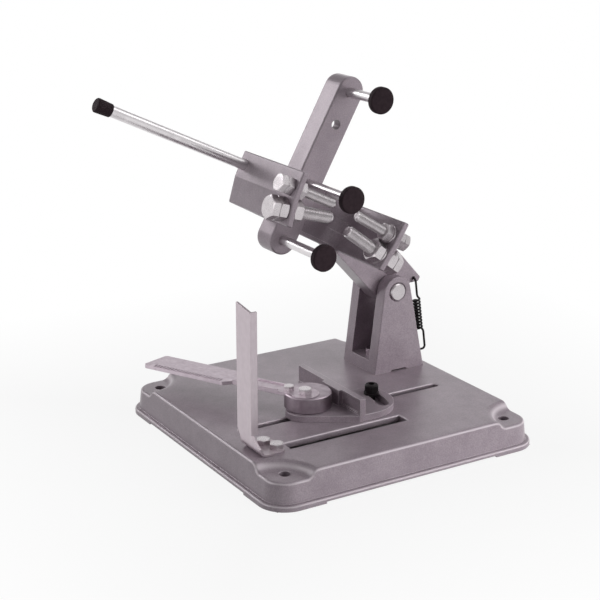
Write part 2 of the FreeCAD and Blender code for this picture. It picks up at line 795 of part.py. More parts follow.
def swing_arm():
    """The whole arm casting with its bores."""
    body = web_body().fuse([yoke_wall_body(-1), yoke_wall_body(1), bar_body(), knuckle_body()])
    seat, way_in = handle_seat()
    bush = pivot_pin_diameter / 2 + bush_wall + fixed_clearance
    body = body.cut(Part.makeCylinder(bush, column_width, Vec(0, column_near, 0), Y_AXIS))
    for n in list(rest_pin_places.values()) + [spare_hole_place]:
        body = body.cut(Part.makeCylinder(rest_pin_diameter / 2 + running_clearance, 2 * bar_thickness,
                                          Vec(yoke_middle, bar_front - bar_thickness / 2, n), Y_AXIS))
    body = body.cut(Part.makeCylinder(handle_diameter / 2 + fixed_clearance, handle_depth + yoke_wall,
                                      seat - way_in * yoke_wall, way_in))
    for side in (-1, 1):
        for row in ("upper", "lower"):
            place, inward, wall = wall_seat(side, row)
            radius = clamp_size(row)["thread"] / 2 + running_clearance
            start = place - inward * yoke_wall
            body = body.cut(Part.makeCylinder(radius, wall + 2 * yoke_wall, start, inward))
    body = body.cut(Part.makeCylinder(spring_hole_diameter / 2, spring_hole_depth,
                                      Vec(tail_hole_s, knuckle_near, tail_hole_n), Y_AXIS))
    return in_arm(body)


def clamp_size(row):
    """The thread of a clamp bolt."""
    return upper_bolt if row == "upper" else lower_bolt


def clamp_bolt(side, row):
    """A clamp bolt, screwed in until its head meets the lock nut."""
    size = clamp_size(row)
    length = upper_bolt_length if row == "upper" else lower_bolt_length
    place, inward, _ = wall_seat(side, row)
    seat = place - inward * (size["nut"] + face_clearance)
    return in_arm(hex_bolt(size, length, seat, inward, clamp_hex_turns[row]))


def clamp_hardware():
    """Lock nuts outside the walls, nuts inside them, and the washers on the pivot's side."""
    outer, inner, washers = [], [], []
    for side in (-1, 1):
        for row in ("upper", "lower"):
            size = clamp_size(row)
            place, inward, wall = wall_seat(side, row)
            turn = clamp_hex_turns[row]
            outer.append(in_arm(hex_nut(size, place, -inward, turn)))
            face = place + inward * wall
            if side > 0:
                bore = size["thread"] + 2 * running_clearance
                washer = tube(face, inward, clamp_washer_diameters[row], bore, clamp_washer_thickness)
                washers.append(in_arm(washer))
                face = face + inward * clamp_washer_thickness
            inner.append(in_arm(hex_nut(size, face, inward, turn)))
    return Part.makeCompound(outer), Part.makeCompound(inner), Part.makeCompound(washers)


def rest_pin(name):
    """A smooth pin through the bar; its front end sits in the pad."""
    front = bar_front - rest_pin_reach[name] - rest_pad_socket
    length = bar_front + bar_thickness - front
    body = shank(rest_pin_diameter, length)
    return in_arm(aimed(body, Vec(yoke_middle, front + length, rest_pin_places[name]), -Y_AXIS))


def rest_pad(name):
    """A round pad with softened edges and a blind socket for its pin."""
    back = bar_front - rest_pin_reach[name]
    body = Part.makeCylinder(rest_pad_diameter / 2, rest_pad_thickness)
    body = body.makeFillet(rest_pad_round, edges_at_level(body, 0) + edges_at_level(body, rest_pad_thickness))
    body = body.cut(Part.makeCylinder(rest_pin_diameter / 2 + fixed_clearance, rest_pad_socket))
    return in_arm(aimed(body, Vec(yoke_middle, back, rest_pin_places[name]), -Y_AXIS))


def handle_seat():
    """Where the handle's axis crosses the wall, and the way into the web."""
    top, bend, _ = wall_face(-1)
    share = (yoke_top - handle_place) / (yoke_top - yoke_bend)
    s = top[0] + (bend[0] - top[0]) * share
    lean = math.radians(left_leans[0])
    return Vec(s, handle_y, handle_place), Vec(math.cos(lean), 0, math.sin(lean))


def handle_rod():
    """The handle's rod, screwed into the end of the web."""
    seat, way_in = handle_seat()
    body = shank(handle_diameter, handle_reach + handle_depth)
    return in_arm(aimed(body, seat + way_in * handle_depth, way_in * -1))


def handle_cap():
    """The moulded cap on the rod's end: it flares slightly towards a rounded end."""
    seat, way_in = handle_seat()
    body = Part.makeCone(cap_mouth_diameter / 2, cap_end_diameter / 2, cap_length)
    body = body.makeFillet(cap_round, edges_at_level(body, cap_length))
    body = body.cut(Part.makeCylinder(handle_diameter / 2 + fixed_clearance, cap_socket))
    mouth = seat - way_in * (handle_reach - cap_socket)
    return in_arm(aimed(body, mouth, way_in * -1))


def pivot_bush():
    """The plain bush in the knuckle."""
    bore = pivot_pin_diameter + 2 * running_clearance
    outer = pivot_pin_diameter + 2 * bush_wall
    return in_arm(tube(Vec(0, knuckle_near, 0), Y_AXIS, outer, bore, knuckle_far - knuckle_near))


# Return spring

def arc_edge(start, corner, end):
    """The arc that leaves start towards corner and reaches end coming from corner."""
    middle = (start + end) * 0.5
    rise = corner - middle
    half_chord = (end - start).Length / 2
    half_turn = math.atan2(rise.Length, half_chord)
    apex = middle + rise * (half_chord * math.tan(half_turn / 2) / rise.Length)
    return Part.Arc(start, apex, end).toShape()


def biarc(start, start_way, end, end_way):
    """Two arcs that join two points and follow a direction at each."""
    across = end - start
    ways = start_way + end_way
    bend = 2 * (1 - start_way.dot(end_way))
    along = across.dot(ways)
    reach = (math.sqrt(along ** 2 + bend * across.dot(across)) - along) / bend
    first, second = start + start_way * reach, end - end_way * reach
    middle = (first + second) * 0.5
    return [arc_edge(start, first, middle), arc_edge(middle, second, end)]


def spring_ends():
    """The corners of the two hooks, lowest first."""
    tail = arm_frame.multVec(Vec(tail_hole_s, 0, tail_hole_n))
    low = Vec(column_rear + spring_foot_overhang, spring_y - 2 * spring_side_bend,
              base_top + spring_foot_height)
    return low, Vec(tail.x, spring_y, tail.z)


def spring_foot_tip():
    """The middle of the bottom of the spring's hole in the column."""
    low = spring_ends()[0]
    return Vec(rear_face_x(low.z) - spring_hole_depth, low.y, low.z)


def spring_path():
    """The wire's line: a hook in the column, a lead, the coil, a lead, and a hook in the arm's tail."""
    low, high = spring_ends()
    rise = Vec(high.x - low.x, 0, high.z - low.z)
    along = rise * (1 / rise.Length)
    out = Y_AXIS.cross(along)
    radius = (spring_outer_diameter - spring_wire) / 2
    slope = math.atan2(spring_pitch, 2 * math.pi * radius)
    coil_start = low + Y_AXIS * spring_side_bend - out * radius
    coil_start += rise * spring_coil_share - along * (spring_turns * spring_pitch / 2)

    def coil(turns):
        angle = 2 * math.pi * turns
        round_way = Y_AXIS * math.cos(angle) - out * math.sin(angle)
        place = coil_start + (out * math.cos(angle) + Y_AXIS * math.sin(angle)) * radius
        return place + along * (spring_pitch * turns), round_way * math.cos(slope) + along * math.sin(slope)

    def line(start, end):
        return Part.LineSegment(start, end).toShape()

    reach = spring_side_bend / math.cos(slope)
    first_place, first_way = coil(0)
    last_place, last_way = coil(spring_turns)
    turn_in, turn_out = first_place - first_way * reach, last_place + last_way * reach
    foot_in, foot_out = low - X_AXIS * spring_hook_bend, low + along * spring_hook_bend
    tail_in, tail_out = high - along * spring_hook_bend, high + Y_AXIS * spring_hook_bend
    edges = [line(spring_foot_tip() + X_AXIS * face_clearance, foot_in), arc_edge(foot_in, low, foot_out),
             line(foot_out, turn_in - along * reach), arc_edge(turn_in - along * reach, turn_in, first_place)]
    for quarter in range(4 * spring_turns):
        (place, way), (next_place, next_way) = coil(quarter / 4), coil((quarter + 1) / 4)
        edges += biarc(place, way, next_place, next_way)
    edges += [arc_edge(last_place, turn_out, turn_out + along * reach),
              line(turn_out + along * reach, tail_in),
              arc_edge(tail_in, high, tail_out),
              line(tail_out, Vec(high.x, knuckle_near + spring_hole_depth - face_clearance, high.z))]
    return Part.Wire(edges)


def least_gap(wire, diameter):
    """The least clear gap between stretches of a wire that lie more than two diameters apart along it."""
    step = diameter / 4
    points = wire.discretize(Distance=step)
    apart = int(2 * math.pi * diameter / step / 2)
    return min((points[i] - points[j]).Length
               for i in range(len(points)) for j in range(i + apart, len(points))) - diameter


def return_spring():
    """The tension spring: one unbroken wire."""
    path = spring_path()
    first = path.OrderedEdges[0]
    start, way = first.Vertexes[0].Point, first.tangentAt(first.FirstParameter)
    section = Part.Wire(Part.makeCircle(spring_wire / 2, start, way))
    print("return_spring least gap to itself", round(least_gap(path, spring_wire), 2))
    return path.makePipeShell([section], True, False)


# Vise

def arc_slot(bottom, height):
    """The tool for the ear's arc slot about the vise's pivot."""
    half = arc_slot_width / 2
    ring = tube(Vec(0, 0, bottom), Z_AXIS, 2 * (arc_slot_radius + half), 2 * (arc_slot_radius - half), height)
    sweep = math.radians(arc_slot_sweep)
    reach = 2 * arc_slot_radius
    far_end = (reach * math.cos(sweep), -reach * math.sin(sweep))
    wedge = flat_prism([(0, 0), far_end, (reach, 0)], bottom, height)
    tool = ring.common(wedge)
    for angle in (0, -sweep):
        end = Vec(arc_slot_radius * math.cos(angle), arc_slot_radius * math.sin(angle), bottom)
        tool = tool.fuse(Part.makeCylinder(half, height, end))
    tool.translate(vise_pivot)
    return tool


def fence_block():
    """The vise's casting: a foot about the pivot, an upright fence and an ear with an arc slot."""
    fence_rear = fence_face + fence_thickness
    fence = box(Vec(fence_face, fence_front, plate_bottom),
                Vec(fence_rear, fence_back, base_top + fence_height))
    recess_low = plate_top + fence_recess_rise
    fence = fence.cut(box(Vec(fence_face, fence_front + fence_recess_front, recess_low),
                          Vec(fence_face + fence_recess_depth,
                              fence_front + fence_recess_front + fence_recess_length,
                              base_top + fence_height - fence_recess_rise)))
    jaw = box(Vec(fence_face - jaw_proud, fence_front + jaw_start, plate_bottom),
              Vec(fence_face, fence_front + jaw_start + jaw_length, base_top + fence_height))
    centre = (vise_pivot.x, vise_pivot.y)
    front_touch = tangent_point((fence_face, fence_front), centre, fence_foot_radius, -1)
    back_touch = tangent_point((fence_face, fence_back), centre, fence_foot_radius, 1)
    foot = flat_prism([(fence_rear, fence_front), (fence_rear, fence_back), (fence_face, fence_back),
                       back_touch, centre, front_touch, (fence_face, fence_front)], plate_bottom, fence_plate)
    tip = Part.makeCylinder(fence_foot_radius, fence_plate, Vec(centre[0], centre[1], plate_bottom))

    ear = box(Vec(fence_face, fence_front, plate_bottom), Vec(ear_right, ear_back, plate_top))
    outer = [edge for edge in upright_edges(ear) if edge.BoundBox.XMin > fence_rear]
    front_corner = [edge for edge in outer if edge.BoundBox.YMin < clamp_slot_y]
    ear = ear.makeFillet(ear_corner, front_corner)
    back_corner = [edge for edge in upright_edges(ear)
                   if edge.BoundBox.XMin > fence_rear and edge.BoundBox.YMin > clamp_slot_y]
    ear = ear.makeFillet(ear_small_corner, back_corner)
    body = fence.fuse([jaw, foot, tip, ear])
    body = body.cut(arc_slot(plate_bottom, fence_plate))
    bore = vise_screw["thread"] / 2 + running_clearance
    return body.cut(Part.makeCylinder(bore, plate_top, vise_pivot)).removeSplitter()


def cam_centre():
    """The eccentric disc's middle."""
    turn = math.radians(cam_offset_angle)
    return vise_pivot + Vec(math.cos(turn), math.sin(turn), 0) * cam_offset


def lever_way():
    """The direction of the lever from its pivot."""
    turn = math.radians(lever_angle)
    return Vec(math.cos(turn), math.sin(turn), 0)


def lever_bolt_seat():
    """Where the lever's second bolt stands."""
    return vise_pivot + lever_way() * lever_bolt_place


def vise_bores(bottom, height):
    """The tool for the pivot bolt's running bore and the second bolt's fixed one."""
    pivot_bore = Part.makeCylinder(vise_screw["thread"] / 2 + running_clearance, height,
                                   vise_pivot + Z_AXIS * bottom)
    bolt_bore = Part.makeCylinder(lever_screw["thread"] / 2 + fixed_clearance, height,
                                  lever_bolt_seat() + Z_AXIS * bottom)
    return pivot_bore.fuse(bolt_bore)


def on_lever(shape):
    """Moves a shape drawn along +X from the pivot to the lever's place."""
    seat = vise_pivot + Z_AXIS * lever_bottom
    shape.Placement = FreeCAD.Placement(seat, FreeCAD.Rotation(Z_AXIS, lever_angle))
    return shape


def cam_disc():
    """The eccentric disc, with a seat in its top that the lever is let into."""
    body = Part.makeCylinder(cam_radius, cam_height, cam_centre() + Z_AXIS * cam_bottom)
    body = body.makeChamfer(cam_chamfer, edges_at_level(body, cam_top) + edges_at_level(body, cam_bottom))
    neck = lever_neck_width / 2 + fixed_clearance
    seat = Part.makeCylinder(lever_eye_radius + fixed_clearance, lever_thickness)
    seat = seat.fuse(box(Vec(0, -neck, 0), Vec(2 * cam_radius, neck, lever_thickness)))
    body = body.cut(on_lever(seat))
    return body.cut(vise_bores(cam_bottom, cam_height))


def clamp_lever():
    """The flat lever: a round eye, a narrow neck and a wider grip with a slanted end."""
    neck, grip = lever_neck_width / 2, lever_grip_width / 2
    slant = grip * math.tan(math.radians(lever_end_slant))
    half = [(lever_grip_start, neck), (lever_grip_start + lever_shoulder, grip)]
    points = ([(0, -neck)] + [(x, -y) for x, y in half]
              + [(lever_length - slant, -grip), (lever_length + slant, grip)]
              + list(reversed(half)) + [(0, neck)])
    body = flat_prism(points, 0, lever_thickness)
    ends = [edge for edge in upright_edges(body) if edge.BoundBox.XMin > lever_grip_start + lever_grip_width]
    body = body.makeFillet(lever_thickness, ends)
    lip_top = lever_thickness + lever_lip_height
    lips = [box(Vec(lever_lip_start, min(edge, edge - side * lever_lip_width), lever_thickness),
                Vec(lever_grip_start, max(edge, edge - side * lever_lip_width), lip_top))
            for side, edge in ((-1, -neck), (1, neck))]
    eye = Part.makeCylinder(lever_eye_radius, lever_thickness)
    body = on_lever(body.fuse([eye] + lips).removeSplitter())
    return body.cut(vise_bores(lever_bottom, lever_thickness))


def lever_bolt():
    """The bolt that fixes the lever to the disc."""
    seat = lever_bolt_seat() + Z_AXIS * lever_top
    return hex_bolt(lever_screw, lever_thickness + lever_bolt_depth, seat, -Z_AXIS)


def slide_nut_top():
    """The level of the washers' upper faces under the clamp slot."""
    return cavity_top - face_clearance


def vise_shank_end():
    """How far down the vise's screws reach."""
    nut_height = vise_screw["nut"]
    return slide_nut_top() - washer_thickness - nut_height - thread_end_chamfer


def lever_pivot_bolt():
    """The bolt that the disc, the lever and the fence turn about."""
    seat = lever_top + face_clearance
    return hex_bolt(vise_screw, seat - vise_shank_end(), vise_pivot + Z_AXIS * seat, -Z_AXIS)


def fence_screw():
    """The socket-head screw in the ear's arc slot."""
    seat = plate_top + face_clearance + washer_thickness
    head = Part.makeCylinder(socket_head_diameter / 2, socket_head_height)
    head = head.makeFillet(thread_end_chamfer, edges_at_level(head, socket_head_height))
    key = hexagon(socket_key, socket_depth, False)
    key.translate(Z_AXIS * (socket_head_height - socket_depth))
    head = head.cut(key)
    head.rotate(Vec(0, 0, 0), X_AXIS, 180)
    body = head.fuse(shank(vise_screw["thread"], seat - vise_shank_end()))
    return aimed(body, Vec(fence_screw_x, clamp_slot_y, seat), -Z_AXIS)


def fence_washer():
    """The washer between the socket head and the ear."""
    bore = vise_screw["thread"] + 2 * fixed_clearance
    place = Vec(fence_screw_x, clamp_slot_y, plate_top + face_clearance)
    return tube(place, Z_AXIS, fence_washer_diameter, bore, washer_thickness)


def slide_hardware():
    """Wide washers and nuts that hang under the clamp slot on the two screws."""
    places = [Vec(x, clamp_slot_y, slide_nut_top()) for x in (vise_pivot_x, fence_screw_x)]
    bore = vise_screw["thread"] + 2 * fixed_clearance
    washers = [tube(place, -Z_AXIS, slide_washer_diameter, bore, washer_thickness) for place in places]
    nuts = [hex_nut(vise_screw, place - Z_AXIS * washer_thickness, -Z_AXIS) for place in places]
    return Part.makeCompound(washers), Part.makeCompound(nuts)


def write(name, shape):
    """One file for each named piece."""
    shape.exportStep("parts/" + name + ".step")


def main():
    os.makedirs("parts", exist_ok=True)
    write("base_plate", base_plate())
    write("column", column())
    bolts, nuts = column_fasteners()
    write("column_bolts", bolts)
    write("column_nuts", nuts)
    write("pivot_pin", pivot_pin())
    write("pivot_circlip", pivot_circlip())
    write("pivot_washers", pivot_washers())
    write("guard_strip", guard_strip())
    screws, nuts = guard_fasteners()
    write("guard_screws", screws)
    write("guard_nuts", nuts)

    write("swing_arm", swing_arm())
    write("pivot_bush", pivot_bush())
    write("handle_rod", handle_rod())
    write("handle_cap", handle_cap())
    for side, side_name in ((-1, "left"), (1, "right")):
        for row in ("upper", "lower"):
            write("clamp_bolt_" + side_name + "_" + row, clamp_bolt(side, row))
    outer, inner, washers = clamp_hardware()
    write("clamp_lock_nuts", outer)
    write("clamp_inner_nuts", inner)
    write("clamp_washers", washers)
    for name in rest_pin_places:
        write("rest_pin_" + name, rest_pin(name))
        write("rest_pad_" + name, rest_pad(name))
    write("return_spring", return_spring())

    write("fence_block", fence_block())
    write("cam_disc", cam_disc())
    write("clamp_lever", clamp_lever())
    write("lever_bolt", lever_bolt())
    write("lever_pivot_bolt", lever_pivot_bolt())
    write("fence_screw", fence_screw())
    write("fence_washer", fence_washer())
    washers, nuts = slide_hardware()
    write("slide_washers", washers)
    write("slide_nuts", nuts)


main()
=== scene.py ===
import bmesh
import bpy
import math
from mathutils import Matrix, Vector


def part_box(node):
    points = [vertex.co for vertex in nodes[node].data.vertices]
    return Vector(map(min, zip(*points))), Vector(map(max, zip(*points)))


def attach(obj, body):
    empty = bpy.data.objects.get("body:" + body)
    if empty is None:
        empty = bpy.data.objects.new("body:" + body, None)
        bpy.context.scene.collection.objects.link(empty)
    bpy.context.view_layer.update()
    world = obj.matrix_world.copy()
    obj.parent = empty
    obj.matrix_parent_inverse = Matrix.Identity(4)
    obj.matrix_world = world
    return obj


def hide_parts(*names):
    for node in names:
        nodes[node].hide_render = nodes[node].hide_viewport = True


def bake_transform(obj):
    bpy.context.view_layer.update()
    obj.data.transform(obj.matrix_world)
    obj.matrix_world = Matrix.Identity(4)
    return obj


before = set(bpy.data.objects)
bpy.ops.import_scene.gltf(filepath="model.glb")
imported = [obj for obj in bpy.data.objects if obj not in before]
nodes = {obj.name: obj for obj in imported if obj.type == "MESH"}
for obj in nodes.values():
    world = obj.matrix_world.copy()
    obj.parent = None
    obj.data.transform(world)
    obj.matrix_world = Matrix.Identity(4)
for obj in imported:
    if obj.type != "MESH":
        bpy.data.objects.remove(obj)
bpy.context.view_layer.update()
MM = 0.001

# Camera: where it stands, in metres from the middle of the stand's foot, and the way back to it
CAMERA_PLACE = (-0.5995, -0.9353, 0.4655)
CAMERA_BACK = (-0.4975, -0.8118, 0.3055)
CAMERA_LENS_MM = 87.0
CAMERA_SENSOR_MM = 36.0
CAMERA_REACH = 20.0

# Standard threads, in millimetres: outside diameter, hexagon across its flats, heights, pitch
M8 = {"thread": 8.0, "across": 13.0, "head": 5.3, "nut": 6.5, "pitch": 1.25}
M10 = {"thread": 10.0, "across": 17.0, "head": 6.4, "nut": 8.0, "pitch": 1.5}
# Room between a bolt's head and its lock nut
FACE_GAP = 0.05
# A thread's ridge as a share of its pitch, and how far its end narrows and sits in the core
RIDGE_SHARE = 0.56
TIP_CHAMFER, TIP_INSET = 1.2, 0.05
# Steps in one turn of the ridge, and sides of the core
RIDGE_STEPS, SHANK_SIDES = 28, 32
# A bolt head: steps round it, its flat top as a share of the flats, the chamfer in degrees
HEAD_STEPS, HEAD_TOP_SHARE, HEAD_CHAMFER = 72, 0.95, 30.0

# The arm's own axes, in millimetres and degrees: pivot, lean, and the yoke's outer walls
ARM_PIVOT = (82.1, 0.0, 97.2)
ARM_LEAN = 29.0
YOKE_MIDDLE, YOKE_WIDTH = -117.0, 112.0
YOKE_TOP, YOKE_BEND = 52.0, 30.2
CLAMP_BOLT_Y = -25.05
# Lean of each wall above its bend and below it
WALL_LEANS = {"left": (3.5, 13.0), "right": (3.0, 8.0)}
# Thread, place up the wall, shank length, and the turn of the hexagon
CLAMP_BOLTS = {"upper": (M8, 38.0, 50.0, 30.0), "lower": (M10, 20.3, 52.0, 0.0)}

# Points of a mesh that are closer than this are merged
MERGE_GAP = 1e-7

# Studio: strength of the light from all round, where 1 is white
AMBIENT = 0.06
# The backdrop is white up to one height and has dimmed to the ceiling at another, as sines
BACKDROP_TOP, CEILING_START, CEILING = 0.12, 0.5, 0.55
# It also dims from the sides towards the room in front of the stand
BACKDROP_SIDE, ROOM_START, ROOM = 0.1, -0.6, 0.8
# The floor, in metres: its side, the reach of the base over it, where its shade has faded, and
# how white it is beside the base
FLOOR_SIDE = 12.0
UNDER_BASE, FLOOR_FADE, FLOOR_NEAR = 0.118, 0.4, 0.9
# What the soft boxes point at
STAND_MIDDLE, BASE_FRONT = (0.0, 0.0, 0.12), (0.03, -0.12, 0.0)
# Soft boxes: place, aim, width and height, power in watts, spread in degrees, seen in metal or not.
# The front one is narrow and low, for the base's walls, and would leave a hard patch in metal.
ALL_ROUND = 180.0
SOFT_BOXES = {
    "front_softbox": ((0.5, -0.75, 0.2), BASE_FRONT, (0.5, 0.3), 0.72, 64.0, False),
    "left_softbox": ((-1.3, 0.2, 0.65), STAND_MIDDLE, (0.6, 0.7), 3.0, ALL_ROUND, True),
    "rim_softbox": ((-0.62, 1.18, 0.78), STAND_MIDDLE, (0.6, 0.5), 3.8, ALL_ROUND, True),
    "back_softbox": ((0.75, 1.25, 0.5), STAND_MIDDLE, (0.9, 0.4), 0.7, ALL_ROUND, True),
    "top_softbox": ((0.75, -0.5, 1.2), STAND_MIDDLE, (0.9, 0.9), 4.3, ALL_ROUND, True),
}


def linear(hex_colour):
    """An sRGB hex colour as the linear values that shaders take."""
    channels = [int(hex_colour[i:i + 2], 16) / 255 for i in (1, 3, 5)]
    return tuple(c / 12.92 if c <= 0.04045 else ((c + 0.055) / 1.055) ** 2.4
                 for c in channels) + (1.0,)


def add(tree, kind, settings=None, links=None):
    """A node with its settings, by attribute or socket name, and its incoming links."""
    node = tree.nodes.new(kind)
    for name, value in (settings or {}).items():
        if isinstance(name, str) and hasattr(node, name):
            setattr(node, name, value)
        else:
            node.inputs[name].default_value = value
    for name, socket in (links or {}).items():
        tree.links.new(socket, node.inputs[name])
    return node


def per_mm(size_mm):
    """The texture scale at which one cell is this many millimetres."""
    return 1.0 / (size_mm * MM)


# Finishes

# Noise lies mostly between these two values
NOISE_LOW, NOISE_HIGH = 0.3, 0.7

# Enamel: tones and the width of their drift. Its flake is finer than a pixel and is drawn 1 mm
# wide, so that it shows.
ENAMEL_DARK, ENAMEL_LIGHT, ENAMEL_DRIFT_MM = "#A3969F", "#AC9FA8", 14.0
FLAKE_MM, FLAKE_DARK, FLAKE_LIGHT = 1.0, 0.86, 1.14
ENAMEL_SMOOTHEST, ENAMEL_ROUGHEST = 0.28, 0.38
# A pale tint on sharp edges, partly worn paint and partly a painted highlight: its tint, the width of
# an edge, and the cosines at which an edge starts and is full
WEAR_AND_HIGHLIGHT_TINT, PALE_EDGE_MM, PALE_AT_EDGES = "#E2D8DE", 0.9, 0.8
EDGE_START, EDGE_FULL = 0.985, 0.8
# Painted highlight on curved rims, by how far the surface faces up: it starts above a wall and ends
# below a top
WALL_END, RIM_LOW, RIM_HIGH, TOP_START = 0.2, 0.45, 0.62, 0.88
# The dimples that the paint dries in
DIMPLE_MM, DIMPLE_DEPTH_MM, DIMPLE_STRENGTH = 2.4, 0.05, 0.5

# Metal: the drift of its tone, its roughness along the grain as shares, the depth of the grain
METAL_DRIFT_MM, GRAIN_SMOOTHEST, GRAIN_ROUGHEST, GRAIN_DEPTH_MM = 5.0, 0.75, 1.3, 0.02
EVEN = (1.0, 1.0, 1.0)

# Black finishes: the drift of their tone, and the tooth's part in roughness, strength and depth
BLACK_DRIFT_MM, TOOTH_ROUGHNESS, TOOTH_STRENGTH, TOOTH_DEPTH_MM = 3.0, 0.08, 0.3, 0.03


def new_material(name):
    """An empty material, its tree, its output and the object's own coordinates."""
    material = bpy.data.materials.new(name)
    material.use_nodes = True
    tree = material.node_tree
    tree.nodes.clear()
    output = add(tree, "ShaderNodeOutputMaterial")
    place = add(tree, "ShaderNodeTexCoord")
    return material, tree, output, place.outputs["Object"]


def mottled(tree, place, dark, light, size_mm, low=0.35, high=0.65):
    """A soft drift between two colours."""
    noise = add(tree, "ShaderNodeTexNoise", {"Scale": per_mm(size_mm), "Detail": 3.0},
                {"Vector": place})
    ramp = add(tree, "ShaderNodeValToRGB", links={"Fac": noise.outputs["Fac"]})
    first, last = ramp.color_ramp.elements
    first.position, first.color = low, linear(dark)
    last.position, last.color = high, linear(light)
    return ramp.outputs["Color"]


def hammered_enamel(name, rim_highlight_share):
    """Grey hammered enamel sprayed on castings: fine metal flake under a satin skin that dries in
    shallow dimples, a pale tint on edges that is partly worn paint and partly a painted highlight,
    and, by a share, a painted highlight on curved rims."""
    material, tree, output, place = new_material(name)
    drift = mottled(tree, place, ENAMEL_DARK, ENAMEL_LIGHT, ENAMEL_DRIFT_MM)
    flake = add(tree, "ShaderNodeTexNoise", {"Scale": per_mm(FLAKE_MM), "Detail": 2.0},
                {"Vector": place})
    flake_tone = add(tree, "ShaderNodeMapRange",
                     {"From Min": NOISE_LOW, "From Max": NOISE_HIGH,
                      "To Min": FLAKE_DARK, "To Max": FLAKE_LIGHT},
                     {"Value": flake.outputs["Fac"]})
    flaked = add(tree, "ShaderNodeVectorMath", {"operation": "SCALE"},
                 {0: drift, "Scale": flake_tone.outputs["Result"]})
    corner = add(tree, "ShaderNodeBevel", {"samples": 6, "Radius": PALE_EDGE_MM * MM})
    surface = add(tree, "ShaderNodeNewGeometry")
    facing = add(tree, "ShaderNodeVectorMath", {"operation": "DOT_PRODUCT"},
                 {0: corner.outputs["Normal"], 1: surface.outputs["Normal"]})
    # Edges: a pale tint, partly worn paint and partly a painted highlight
    edge = add(tree, "ShaderNodeMapRange",
               {"From Min": EDGE_START, "From Max": EDGE_FULL,
                "To Min": 0.0, "To Max": PALE_AT_EDGES},
               {"Value": facing.outputs["Value"]})
    skin = add(tree, "ShaderNodeTexCoord")
    lean = add(tree, "ShaderNodeSeparateXYZ", links={0: skin.outputs["Normal"]})
    # Painted highlight on curved rims that face part way up, by the surface's lean
    off_wall = add(tree, "ShaderNodeMapRange",
                   {"From Min": WALL_END, "From Max": RIM_LOW,
                    "To Min": 0.0, "To Max": rim_highlight_share},
                   {"Value": lean.outputs["Z"]})
    off_top = add(tree, "ShaderNodeMapRange", {"From Min": TOP_START, "From Max": RIM_HIGH},
                  {"Value": lean.outputs["Z"]})
    rim_highlight = add(tree, "ShaderNodeMath", {"operation": "MULTIPLY"},
                  {0: off_wall.outputs["Result"], 1: off_top.outputs["Result"]})
    # The pale tint is the larger of the edge mark and the painted rim highlight
    wear_and_highlight = add(tree, "ShaderNodeMath", {"operation": "MAXIMUM"},
               {0: edge.outputs["Result"], 1: rim_highlight.outputs["Value"]})
    # Sockets 6 and 7 and output 2 of a mix are its colours
    tint = add(tree, "ShaderNodeMix", {"data_type": "RGBA", 7: linear(WEAR_AND_HIGHLIGHT_TINT)},
               {"Factor": wear_and_highlight.outputs["Value"], 6: flaked.outputs["Vector"]})
    dimple = add(tree, "ShaderNodeTexVoronoi",
                 {"feature": "SMOOTH_F1", "Scale": per_mm(DIMPLE_MM), "Smoothness": 1.0},
                 {"Vector": place})
    peel = add(tree, "ShaderNodeBump",
               {"Strength": DIMPLE_STRENGTH, "Distance": DIMPLE_DEPTH_MM * MM},
               {"Height": dimple.outputs["Distance"], "Normal": corner.outputs["Normal"]})
    rough = add(tree, "ShaderNodeMapRange",
                {"From Min": NOISE_LOW, "From Max": NOISE_HIGH,
                 "To Min": ENAMEL_SMOOTHEST, "To Max": ENAMEL_ROUGHEST},
                {"Value": flake.outputs["Fac"]})
    shader = add(tree, "ShaderNodeBsdfPrincipled", {"Metallic": 0.2, "IOR": 1.45},
                 {"Base Color": tint.outputs[2], "Roughness": rough.outputs["Result"],
                  "Normal": peel.outputs["Normal"]})
    tree.links.new(shader.outputs["BSDF"], output.inputs["Surface"])
    return material


def plated_steel(name, dark, light, roughness, grain_mm, stretch, bump, edge_mm=0.35):
    """Metal with a drawn, rolled or turned grain: streaks along one way, or an even tooth, a slight
    drift in tone, and edges that catch the light."""
    material, tree, output, place = new_material(name)
    tone = mottled(tree, place, dark, light, METAL_DRIFT_MM, NOISE_LOW, NOISE_HIGH)
    along = add(tree, "ShaderNodeMapping", {"Scale": stretch}, {"Vector": place})
    grain = add(tree, "ShaderNodeTexNoise", {"Scale": per_mm(grain_mm), "Detail": 4.0},
                {"Vector": along.outputs["Vector"]})
    rough = add(tree, "ShaderNodeMapRange",
                {"From Min": NOISE_LOW, "From Max": NOISE_HIGH,
                 "To Min": roughness * GRAIN_SMOOTHEST, "To Max": roughness * GRAIN_ROUGHEST},
                {"Value": grain.outputs["Fac"]})
    corner = add(tree, "ShaderNodeBevel", {"samples": 4, "Radius": edge_mm * MM})
    scratch = add(tree, "ShaderNodeBump", {"Strength": bump, "Distance": GRAIN_DEPTH_MM * MM},
                  {"Height": grain.outputs["Fac"], "Normal": corner.outputs["Normal"]})
    shader = add(tree, "ShaderNodeBsdfPrincipled", {"Metallic": 1.0},
                 {"Base Color": tone, "Roughness": rough.outputs["Result"],
                  "Normal": scratch.outputs["Normal"]})
    tree.links.new(shader.outputs["BSDF"], output.inputs["Surface"])
    return material


